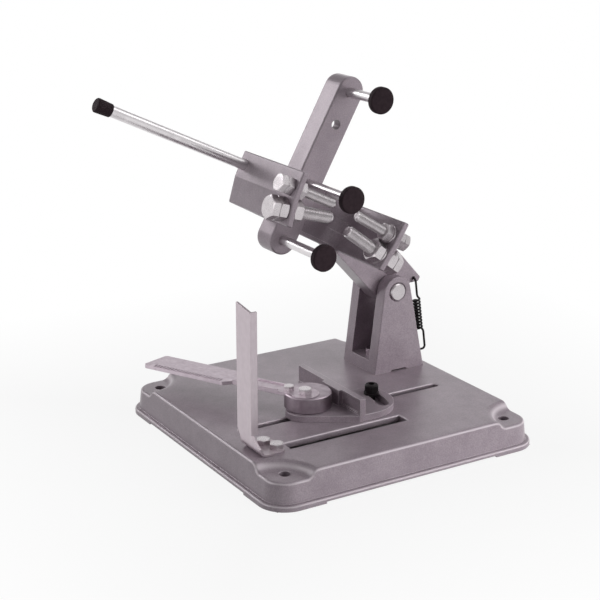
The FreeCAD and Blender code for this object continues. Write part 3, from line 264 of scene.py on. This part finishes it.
def dull_black(name, dark, light, roughness, grain_mm, metallic, ior):
    """Black rubber or blackened steel: nearly no colour, and a fine matt tooth."""
    material, tree, output, place = new_material(name)
    tone = mottled(tree, place, dark, light, BLACK_DRIFT_MM)
    tooth = add(tree, "ShaderNodeTexNoise", {"Scale": per_mm(grain_mm), "Detail": 3.0},
                {"Vector": place})
    rough = add(tree, "ShaderNodeMapRange",
                {"From Min": NOISE_LOW, "From Max": NOISE_HIGH,
                 "To Min": roughness - TOOTH_ROUGHNESS, "To Max": roughness + TOOTH_ROUGHNESS},
                {"Value": tooth.outputs["Fac"]})
    skin = add(tree, "ShaderNodeBump",
               {"Strength": TOOTH_STRENGTH, "Distance": TOOTH_DEPTH_MM * MM},
               {"Height": tooth.outputs["Fac"]})
    shader = add(tree, "ShaderNodeBsdfPrincipled", {"Metallic": metallic, "IOR": ior},
                 {"Base Color": tone, "Roughness": rough.outputs["Result"],
                  "Normal": skin.outputs["Normal"]})
    tree.links.new(shader.outputs["BSDF"], output.inputs["Surface"])
    return material


# Sprayed castings, and the base, which also has a painted highlight on its curved rims
ENAMEL = hammered_enamel("hammered_grey_enamel", rim_highlight_share=0.0)
BASE_ENAMEL_RIM_HIGHLIGHT = hammered_enamel("hammered_enamel_rim_highlight", rim_highlight_share=0.8)
# Plated fasteners: pale and satin, nearly without grain
ZINC = plated_steel("bright_zinc_plate", "#C4BEC1", "#CFC9CC", roughness=0.3, grain_mm=0.5,
                    stretch=EVEN, bump=0.03)
# Plated bar: no grain, so that long bright and dark bands run along it
CHROME = plated_steel("polished_chrome_rod", "#DAD6D8", "#E2DEE0", roughness=0.3, grain_mm=8.0,
                      stretch=EVEN, bump=0.0, edge_mm=0.0)
# Rolled and zinc-dipped strip: a dull sheen with upright streaks
SHEET = plated_steel("galvanised_sheet", "#C3B8BE", "#C9BEC4", roughness=0.45, grain_mm=0.35,
                     stretch=(1.0, 1.0, 0.04), bump=0.1)
# Pressed plate: a dull sheen with short flat streaks
LEVER = plated_steel("pressed_steel_lever", "#C1B4BD", "#CCC0C8", roughness=0.45, grain_mm=0.5,
                     stretch=(0.2, 0.2, 1.0), bump=0.1)
# Steel from the lathe: darker, with fine lines round it; it also stands as painted shade on the
# column's bolts
TURNED = plated_steel("turned_steel_disc", "#A0939C", "#AFA2AB", roughness=0.4, grain_mm=0.4,
                      stretch=(0.05, 0.05, 1.0), bump=0.1)
# Bush metal: brown and satin
BRONZE = plated_steel("bearing_bronze", "#8F6A35", "#A98147", roughness=0.4, grain_mm=0.6,
                      stretch=EVEN, bump=0.1)
# Moulded pads and cap: matt, a little brown
RUBBER = dull_black("moulded_black_rubber", "#33282D", "#3C3035", roughness=0.7, grain_mm=0.4,
                    metallic=0.0, ior=1.25)
# Blackened spring and screw: darker, with a slight sheen
BLACK_OXIDE = dull_black("black_oxide_steel", "#120E10", "#1C1719", roughness=0.42, grain_mm=0.6,
                         metallic=0.4, ior=1.5)

FINISHES = {
    BASE_ENAMEL_RIM_HIGHLIGHT: ("base_plate",),
    ENAMEL: ("column", "swing_arm", "fence_block"),
    ZINC: ("column_nuts", "pivot_circlip", "pivot_washers", "guard_screws", "guard_nuts",
           "clamp_lock_nuts", "clamp_inner_nuts", "clamp_washers", "clamp_bolt_left_upper",
           "clamp_bolt_left_lower", "clamp_bolt_right_upper", "clamp_bolt_right_lower",
           "lever_bolt", "lever_pivot_bolt", "slide_nuts", "slide_washers", "pivot_pin"),
    CHROME: ("handle_rod", "rest_pin_top", "rest_pin_middle", "rest_pin_bottom"),
    SHEET: ("guard_strip",),
    LEVER: ("clamp_lever",),
    # The column's bolts are zinc, but take the darker turned steel as painted shade for the shade at
    # the foot of the column's window
    TURNED: ("cam_disc", "column_bolts"),
    BRONZE: ("pivot_bush",),
    RUBBER: ("handle_cap", "rest_pad_top", "rest_pad_middle", "rest_pad_bottom"),
    BLACK_OXIDE: ("return_spring", "fence_screw", "fence_washer"),
}
for finish, names in FINISHES.items():
    for name in names:
        nodes[name].data.materials.clear()
        nodes[name].data.materials.append(finish)


# Studio: a white floor and backdrop that dim overhead and to the front, and five soft boxes

def add_camera():
    """The camera at the photograph's viewing angle."""
    camera = bpy.data.objects.new("camera", bpy.data.cameras.new("camera"))
    camera.location = CAMERA_PLACE
    camera.rotation_euler = (-Vector(CAMERA_BACK)).to_track_quat("-Z", "Y").to_euler()
    camera.data.lens = CAMERA_LENS_MM
    camera.data.sensor_width = CAMERA_SENSOR_MM
    camera.data.clip_end = CAMERA_REACH
    bpy.context.scene.collection.objects.link(camera)
    bpy.context.scene.camera = camera


def where_seen(tree):
    """1 for rays that look straight at the studio or see it mirrored or through glass."""
    path = add(tree, "ShaderNodeLightPath")
    seen = add(tree, "ShaderNodeMath", {"operation": "MAXIMUM"},
               {0: path.outputs["Is Camera Ray"], 1: path.outputs["Is Glossy Ray"]})
    through = add(tree, "ShaderNodeMath", {"operation": "MAXIMUM"},
                  {0: seen.outputs["Value"], 1: path.outputs["Is Transmission Ray"]})
    return through.outputs["Value"]


def add_backdrop():
    """A backdrop that is white low down and at the back, dims to the ceiling and to the front, and
    gives only weak light of its own."""
    world = bpy.data.worlds.new("studio")
    bpy.context.scene.world = world
    world.use_nodes = True
    tree = world.node_tree
    tree.nodes.clear()
    ambient = add(tree, "ShaderNodeBackground",
                  {"Color": linear("#FFFFFF"), "Strength": AMBIENT})
    view = add(tree, "ShaderNodeTexCoord")
    way = add(tree, "ShaderNodeSeparateXYZ", links={0: view.outputs["Generated"]})
    upward = add(tree, "ShaderNodeMapRange",
                 {"interpolation_type": "SMOOTHSTEP", "From Min": BACKDROP_TOP,
                  "From Max": CEILING_START, "To Min": 1.0, "To Max": CEILING},
                 {"Value": way.outputs["Z"]})
    forward = add(tree, "ShaderNodeMapRange",
                  {"interpolation_type": "SMOOTHSTEP", "From Min": BACKDROP_SIDE,
                   "From Max": ROOM_START, "To Min": 1.0, "To Max": ROOM},
                  {"Value": way.outputs["Y"]})
    dimming = add(tree, "ShaderNodeMath", {"operation": "MULTIPLY"},
                  {0: upward.outputs["Result"], 1: forward.outputs["Result"]})
    white = add(tree, "ShaderNodeBackground", {"Color": linear("#FFFFFF")},
                {"Strength": dimming.outputs["Value"]})
    mix = add(tree, "ShaderNodeMixShader",
              links={0: where_seen(tree), 1: ambient.outputs["Background"],
                     2: white.outputs["Background"]})
    output = add(tree, "ShaderNodeOutputWorld")
    tree.links.new(mix.outputs["Shader"], output.inputs["Surface"])


def add_floor():
    """A matt floor that reads as white where it is seen, keeps a soft shade near the base, and
    stays unlit under the hollow base."""
    bpy.ops.mesh.primitive_plane_add(size=FLOOR_SIDE, location=(0.0, 0.0, 0.0))
    floor = bpy.context.object
    floor.name = "floor"
    material, tree, output, place = new_material("studio_floor")
    matt = add(tree, "ShaderNodeBsdfDiffuse", {"Color": linear("#A8A8A8")})
    glow = add(tree, "ShaderNodeEmission", {"Color": linear("#FFFFFF"), "Strength": 1.0})
    spread = add(tree, "ShaderNodeVectorMath", {"operation": "ABSOLUTE"}, {0: place})
    sides = add(tree, "ShaderNodeSeparateXYZ", links={0: spread.outputs["Vector"]})
    outward = add(tree, "ShaderNodeMath", {"operation": "MAXIMUM"},
                  {0: sides.outputs["X"], 1: sides.outputs["Y"]})
    beyond = add(tree, "ShaderNodeMath", {"operation": "GREATER_THAN", 1: UNDER_BASE},
                 {0: outward.outputs["Value"]})
    away = add(tree, "ShaderNodeMapRange",
               {"From Min": UNDER_BASE, "From Max": FLOOR_FADE,
                "To Min": FLOOR_NEAR, "To Max": 1.0},
               {"Value": outward.outputs["Value"]})
    share = add(tree, "ShaderNodeMath", {"operation": "MULTIPLY"},
                {0: beyond.outputs["Value"], 1: away.outputs["Result"]})
    seen = add(tree, "ShaderNodeMath", {"operation": "MULTIPLY"},
               {0: share.outputs["Value"], 1: where_seen(tree)})
    mix = add(tree, "ShaderNodeMixShader",
              links={0: seen.outputs["Value"], 1: matt.outputs["BSDF"],
                     2: glow.outputs["Emission"]})
    tree.links.new(mix.outputs["Shader"], output.inputs["Surface"])
    floor.data.materials.append(material)


def add_soft_box(name, place, aim, size, power, spread, mirrored):
    """An area lamp that the camera doesn't see."""
    lamp = bpy.data.lights.new(name, "AREA")
    lamp.shape = "RECTANGLE"
    lamp.size, lamp.size_y = size
    lamp.energy = power
    lamp.spread = math.radians(spread)
    obj = bpy.data.objects.new(name, lamp)
    obj.location = place
    obj.visible_camera = False
    obj.visible_glossy = mirrored
    obj.rotation_euler = (Vector(aim) - Vector(place)).to_track_quat("-Z", "Y").to_euler()
    bpy.context.scene.collection.objects.link(obj)


bpy.context.scene.view_settings.view_transform = "Standard"
add_camera()
add_backdrop()
add_floor()
for name, soft_box in SOFT_BOXES.items():
    add_soft_box(name, *soft_box)


# Pieces

def new_piece(name, mesh, material, body):
    """A finished piece at the origin that moves with a body."""
    mesh.materials.clear()
    mesh.materials.append(material)
    obj = bpy.data.objects.new(name, mesh)
    bpy.context.scene.collection.objects.link(obj)
    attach(obj, body)
    return obj


def new_tree(name, sizes):
    """An empty node tree for repeated shapes, with named inputs, and the sockets of its inputs."""
    tree = bpy.data.node_groups.new(name, "GeometryNodeTree")
    tree.interface.new_socket("Geometry", in_out="OUTPUT", socket_type="NodeSocketGeometry")
    for size, kind in sizes.items():
        tree.interface.new_socket(size, in_out="INPUT", socket_type=kind)
    return tree, add(tree, "NodeGroupInput").outputs


def close_tree(tree, parts, material):
    """Joins the parts, makes instances real and sets the material."""
    whole = add(tree, "GeometryNodeJoinGeometry")
    for part in parts:
        tree.links.new(part, whole.inputs[0])
    real = add(tree, "GeometryNodeRealizeInstances", links={0: whole.outputs[0]})
    painted = add(tree, "GeometryNodeSetMaterial", {"Material": material},
                  {"Geometry": real.outputs[0]})
    add(tree, "NodeGroupOutput", links={0: painted.outputs[0]})


def grown(tree, sizes):
    """The plain mesh that a node tree makes from these sizes."""
    holder = bpy.data.objects.new(tree.name, bpy.data.meshes.new(tree.name))
    bpy.context.scene.collection.objects.link(holder)
    modifier = holder.modifiers.new(tree.name, "NODES")
    modifier.node_group = tree
    for item in tree.interface.items_tree:
        if item.in_out == "INPUT":
            modifier[item.identifier] = sizes[item.name]
    evaluated = holder.evaluated_get(bpy.context.evaluated_depsgraph_get())
    mesh = bpy.data.meshes.new_from_object(evaluated)
    bpy.data.objects.remove(holder)
    return mesh


def thread_tree():
    """A screw thread along +Z: a round core with a three-sided ridge wound round it, and a tip
    that narrows."""
    tree, size = new_tree("screw_thread", {"Thread Radius": "NodeSocketFloat",
                                           "Pitch": "NodeSocketFloat",
                                           "Length": "NodeSocketFloat"})
    turns = add(tree, "ShaderNodeMath", {"operation": "DIVIDE"},
                {0: size["Length"], 1: size["Pitch"]})
    ridge = add(tree, "ShaderNodeMath", {"operation": "MULTIPLY", 1: RIDGE_SHARE},
                {0: size["Pitch"]})
    ridge_line = add(tree, "ShaderNodeMath", {"operation": "SUBTRACT"},
                     {0: size["Thread Radius"], 1: ridge.outputs[0]})
    spiral = add(tree, "GeometryNodeCurveSpiral", {"Resolution": RIDGE_STEPS},
                 {"Rotations": turns.outputs[0], "Start Radius": ridge_line.outputs[0],
                  "End Radius": ridge_line.outputs[0], "Height": size["Length"]})
    upright = add(tree, "GeometryNodeSetCurveNormal", {"mode": "Z_UP"},
                  {"Curve": spiral.outputs[0]})
    section = add(tree, "GeometryNodeCurvePrimitiveCircle", {"Resolution": 3},
                  {"Radius": ridge.outputs[0]})
    turned = add(tree, "GeometryNodeTransform", {"Rotation": (0.0, 0.0, math.pi)},
                 {"Geometry": section.outputs[0]})
    wound = add(tree, "GeometryNodeCurveToMesh", {"Fill Caps": True},
                {"Curve": upright.outputs[0], "Profile Curve": turned.outputs[0]})
    core = add(tree, "GeometryNodeMeshCylinder", {"Vertices": SHANK_SIDES},
               {"Radius": ridge_line.outputs[0], "Depth": size["Length"]})
    half = add(tree, "ShaderNodeMath", {"operation": "MULTIPLY", 1: 0.5}, {0: size["Length"]})
    lift = add(tree, "ShaderNodeCombineXYZ", links={"Z": half.outputs[0]})
    seated = add(tree, "GeometryNodeTransform",
                 links={"Geometry": core.outputs["Mesh"], "Translation": lift.outputs[0]})
    narrow = add(tree, "ShaderNodeMath", {"operation": "SUBTRACT", 1: TIP_CHAMFER},
                 {0: size["Thread Radius"]})
    snug = add(tree, "ShaderNodeMath", {"operation": "SUBTRACT", 1: TIP_INSET},
               {0: ridge_line.outputs[0]})
    tip = add(tree, "GeometryNodeMeshCone", {"Vertices": SHANK_SIDES},
              {"Radius Top": narrow.outputs[0], "Radius Bottom": snug.outputs[0],
               "Depth": size["Pitch"]})
    reach = add(tree, "ShaderNodeCombineXYZ", links={"Z": size["Length"]})
    capped = add(tree, "GeometryNodeTransform",
                 links={"Geometry": tip.outputs["Mesh"], "Translation": reach.outputs[0]})
    close_tree(tree, [wound.outputs[0], seated.outputs[0], capped.outputs[0]], ZINC)
    return tree


def row_tree(name, material):
    """A straight row of small bars along +X."""
    tree, size = new_tree(name, {"Count": "NodeSocketInt", "Spacing": "NodeSocketFloat",
                                 "Bar Size": "NodeSocketVector"})
    step = add(tree, "ShaderNodeCombineXYZ", links={"X": size["Spacing"]})
    line = add(tree, "GeometryNodeMeshLine",
               links={"Count": size["Count"], "Offset": step.outputs[0]})
    bar = add(tree, "GeometryNodeMeshCube", links={"Size": size["Bar Size"]})
    row = add(tree, "GeometryNodeInstanceOnPoints",
              links={"Points": line.outputs[0], "Instance": bar.outputs[0]})
    close_tree(tree, [row.outputs[0]], material)
    return tree


def ring_tree(name, material):
    """A ring of small bars about +Z, each turned outwards."""
    tree, size = new_tree(name, {"Count": "NodeSocketInt", "Ring Radius": "NodeSocketFloat",
                                 "Bar Size": "NodeSocketVector"})
    circle = add(tree, "GeometryNodeMeshCircle",
                 links={"Vertices": size["Count"], "Radius": size["Ring Radius"]})
    spot = add(tree, "GeometryNodeInputPosition")
    facing = add(tree, "FunctionNodeAlignRotationToVector", {"axis": "X"},
                 {"Vector": spot.outputs[0]})
    bar = add(tree, "GeometryNodeMeshCube", links={"Size": size["Bar Size"]})
    ring = add(tree, "GeometryNodeInstanceOnPoints",
               links={"Points": circle.outputs[0], "Instance": bar.outputs[0],
                      "Rotation": facing.outputs[0]})
    close_tree(tree, [ring.outputs[0]], material)
    return tree


def hex_head(across, height):
    """A bolt head below z = 0: six flats, a turned chamfer that scallops them, and a flat top."""
    rim = across / 2 * HEAD_TOP_SHARE
    chamfer = math.tan(math.radians(HEAD_CHAMFER))
    outline = []
    for k in range(HEAD_STEPS):
        angle = 2 * math.pi * k / HEAD_STEPS
        off_flat = (angle % (math.pi / 3)) - math.pi / 6
        outline.append((angle, across / 2 / math.cos(off_flat)))
    rings = [[(r, 0.0) for _, r in outline],
             [(r, height - (r - rim) * chamfer) for _, r in outline],
             [(rim, height) for _ in outline]]
    verts = [(r * math.cos(a), r * math.sin(a), -z)
             for ring in rings for (a, _), (r, z) in zip(outline, ring)]
    faces = []
    for level in range(len(rings) - 1):
        low, high = level * HEAD_STEPS, (level + 1) * HEAD_STEPS
        for k in range(HEAD_STEPS):
            after = (k + 1) % HEAD_STEPS
            faces.append((low + after, low + k, high + k, high + after))
    faces.append(tuple(range(HEAD_STEPS)))
    faces.append(tuple(reversed(range(2 * HEAD_STEPS, 3 * HEAD_STEPS))))
    mesh = bpy.data.meshes.new("head")
    mesh.from_pydata(verts, [], faces)
    return mesh


def joined(parts):
    """One mesh from several, each with the matrix that places it; normals face outwards."""
    shape = bmesh.new()
    for mesh, matrix in parts:
        piece = bmesh.new()
        piece.from_mesh(mesh)
        bmesh.ops.remove_doubles(piece, verts=piece.verts, dist=MERGE_GAP)
        bmesh.ops.transform(piece, matrix=matrix, verts=piece.verts)
        bmesh.ops.recalc_face_normals(piece, faces=piece.faces)
        placed = bpy.data.meshes.new("placed")
        piece.to_mesh(placed)
        piece.free()
        shape.from_mesh(placed)
    mesh = bpy.data.meshes.new("joined")
    shape.to_mesh(mesh)
    shape.free()
    return mesh


def aimed(place, way):
    """The matrix that sets a shape drawn along +Z, in millimetres, at a place and along a way."""
    turn = Vector((0, 0, 1)).rotation_difference(Vector(way)).to_matrix().to_4x4()
    return Matrix.Scale(MM, 4) @ Matrix.Translation(place) @ turn


ARM = Matrix.Translation(ARM_PIVOT) @ Matrix.Rotation(math.radians(ARM_LEAN), 4, "Y")


def wall_seat(side, row):
    """Where a clamp bolt crosses the yoke wall's outer face, and the way in, in the arm's axes."""
    out = -1 if side == "left" else 1
    upper_lean, lower_lean = (math.radians(lean) for lean in WALL_LEANS[side])
    height = CLAMP_BOLTS[row][1]
    s = YOKE_MIDDLE + out * YOKE_WIDTH / 2
    if row == "upper":
        s -= out * (YOKE_TOP - height) * math.tan(upper_lean)
        lean = upper_lean
    else:
        s -= out * ((YOKE_TOP - YOKE_BEND) * math.tan(upper_lean)
                    + (YOKE_BEND - height) * math.tan(lower_lean))
        lean = lower_lean
    return Vector((s, CLAMP_BOLT_Y, height)), Vector((-out * math.cos(lean), 0, math.sin(lean)))


def add_clamp_bolts():
    """The four clamp bolts with real threads in place of plain shanks."""
    tree = thread_tree()
    for side in WALL_LEANS:
        for row, (size, _, length, turn) in CLAMP_BOLTS.items():
            seat, way_in = wall_seat(side, row)
            seat = seat - way_in * (size["nut"] + FACE_GAP)
            thread = grown(tree, {"Thread Radius": size["thread"] / 2, "Pitch": size["pitch"],
                                  "Length": length - size["pitch"]})
            place = Matrix.Scale(MM, 4) @ ARM @ Matrix.Scale(1 / MM, 4) @ aimed(seat, way_in)
            turned = place @ Matrix.Rotation(math.radians(turn), 4, "Z")
            mesh = joined([(hex_head(size["across"], size["head"]), turned), (thread, place)])
            node = "clamp_bolt_" + side + "_" + row
            body = "clamp_" + side + "_" + row
            bolt = new_piece("threaded_" + node, mesh, ZINC, body)
            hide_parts(node)


# Return spring, in millimetres: the tip in the column, the corners of the two hooks, the tip in
# the arm's tail
SPRING_FOOT_TIP = Vector((103.03, 22.65, 39.8))
SPRING_LOW = Vector((115.1, 22.65, 39.8))
SPRING_HIGH = Vector((106.6, 27.25, 102.828))
SPRING_TAIL_TIP = Vector((106.6, 35.6, 102.828))
SPRING_WIRE = 1.9
SPRING_RADIUS = 2.85
SPRING_TURNS = 10
SPRING_PITCH = 2.85
# Where the coil's middle lies between the hooks, and where it starts to follow the arm
SPRING_SHARE = 0.51
SPRING_HOOK_BEND = 3.0
SPRING_SIDE_BEND = 2.3
# Steps round one turn and round one bend, and the roundness of the wire
COIL_STEPS, BEND_STEPS, WIRE_ROUNDNESS = 28, 8, 5


def tube_mesh(points, radius, name):
    """A round closed tube through points, in millimetres."""
    curve = bpy.data.curves.new(name, "CURVE")
    curve.dimensions = "3D"
    curve.bevel_depth = radius
    curve.bevel_resolution = WIRE_ROUNDNESS
    curve.use_fill_caps = True
    spline = curve.splines.new("POLY")
    spline.points.add(len(points) - 1)
    for spot, point in zip(spline.points, points):
        spot.co = (*point, 1.0)
    holder = bpy.data.objects.new(name, curve)
    bpy.context.scene.collection.objects.link(holder)
    evaluated = holder.evaluated_get(bpy.context.evaluated_depsgraph_get())
    mesh = bpy.data.meshes.new_from_object(evaluated)
    bpy.data.objects.remove(holder)
    return mesh


def bend_points(start, corner, end):
    """Points on the round bend that leaves start towards a corner and reaches end from it."""
    to_start, to_end = (start - corner).normalized(), (end - corner).normalized()
    half = to_start.angle(to_end) / 2
    leg = (start - corner).length
    radius = leg * math.tan(half)
    middle = corner + (to_start + to_end).normalized() * (leg / math.cos(half))
    first, last = (start - middle) / radius, (end - middle) / radius
    sweep = first.angle(last)
    points = []
    for k in range(BEND_STEPS + 1):
        share = k / BEND_STEPS
        spoke = first * math.sin(sweep * (1 - share)) + last * math.sin(sweep * share)
        points.append(middle + spoke * (radius / math.sin(sweep)))
    return points


def add_spring():
    """The black return spring: one wire from the column's foot to the arm's tail."""
    across = Vector((0, 1, 0))
    rise = SPRING_HIGH - SPRING_LOW
    rise.y = 0
    along = rise.normalized()
    side = across.cross(along)
    slope = math.atan2(SPRING_PITCH, 2 * math.pi * SPRING_RADIUS)
    way = across * math.cos(slope) + along * math.sin(slope)
    reach = SPRING_SIDE_BEND / math.cos(slope)
    start = SPRING_LOW + across * SPRING_SIDE_BEND - side * SPRING_RADIUS
    start += rise * SPRING_SHARE - along * (SPRING_TURNS * SPRING_PITCH / 2)

    def coil(turns):
        angle = 2 * math.pi * turns
        spoke = side * math.cos(angle) + across * math.sin(angle)
        return start + spoke * SPRING_RADIUS + along * (SPRING_PITCH * turns)

    turn_in, turn_out = coil(0) - way * reach, coil(SPRING_TURNS) + way * reach
    hook = SPRING_HOOK_BEND
    points = [SPRING_FOOT_TIP]
    points += bend_points(SPRING_LOW - Vector((hook, 0, 0)), SPRING_LOW, SPRING_LOW + along * hook)
    points += bend_points(turn_in - along * reach, turn_in, coil(0))
    points += [coil(k / COIL_STEPS) for k in range(1, SPRING_TURNS * COIL_STEPS)]
    points += bend_points(coil(SPRING_TURNS), turn_out, turn_out + along * reach)
    points += bend_points(SPRING_HIGH - along * hook, SPRING_HIGH, SPRING_HIGH + across * hook)
    points.append(SPRING_TAIL_TIP)
    mesh = joined([(tube_mesh(points, SPRING_WIRE / 2, "spring_wire"), Matrix.Scale(MM, 4))])
    mesh.materials.append(BLACK_OXIDE)
    spring = bpy.data.objects.new("coiled_return_spring", mesh)
    bpy.context.scene.collection.objects.link(spring)
    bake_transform(spring)
    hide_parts("return_spring")
    for face in mesh.polygons:
        face.use_smooth = True


# Lever grip, in millimetres and degrees: raised ribs along its near edge
VISE_PIVOT = (-37.5, -26.0, 0.0)
LEVER_ANGLE = 117.5
LEVER_TOP = 45.4
RIB_START, RIB_COUNT, RIB_SPACING = 74.0, 24, 2.8
RIB_SIZE = (1.3, 4.6, 0.9)
RIB_EDGE = 10.6


def add_lever_ribs():
    """The pressed ribs that give the lever's edge its grip."""
    ribs = grown(row_tree("lever_ribs", LEVER),
                 {"Count": RIB_COUNT, "Spacing": RIB_SPACING, "Bar Size": RIB_SIZE})
    lever = Matrix.Translation(VISE_PIVOT) @ Matrix.Rotation(math.radians(LEVER_ANGLE), 4, "Z")
    along = Matrix.Translation((RIB_START, RIB_EDGE, LEVER_TOP))
    place = Matrix.Scale(MM, 4) @ lever @ along
    new_piece("lever_grip_ribs", joined([(ribs, place)]), LEVER, "lever")


# Socket-head screw, in millimetres: its axis, and the knurl round its head, below the top
SCREW_X, SCREW_Y = 26.0, -26.0
KNURL_COUNT = 40
KNURL_SIZE = (0.5, 0.38, 4.6)
KNURL_DROP = 1.2


def add_screw_knurl():
    """The straight knurl round the socket-head screw."""
    low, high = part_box("fence_screw")
    radius = (high.x - low.x) / 2 / MM
    knurl = grown(ring_tree("screw_knurl", BLACK_OXIDE),
                  {"Count": KNURL_COUNT, "Ring Radius": radius, "Bar Size": KNURL_SIZE})
    middle = high.z / MM - KNURL_SIZE[2] / 2 - KNURL_DROP
    place = Matrix.Scale(MM, 4) @ Matrix.Translation((SCREW_X, SCREW_Y, middle))
    new_piece("fence_screw_knurl", joined([(knurl, place)]), BLACK_OXIDE, "vise")


add_clamp_bolts()
add_spring()
add_lever_ribs()
add_screw_knurl()
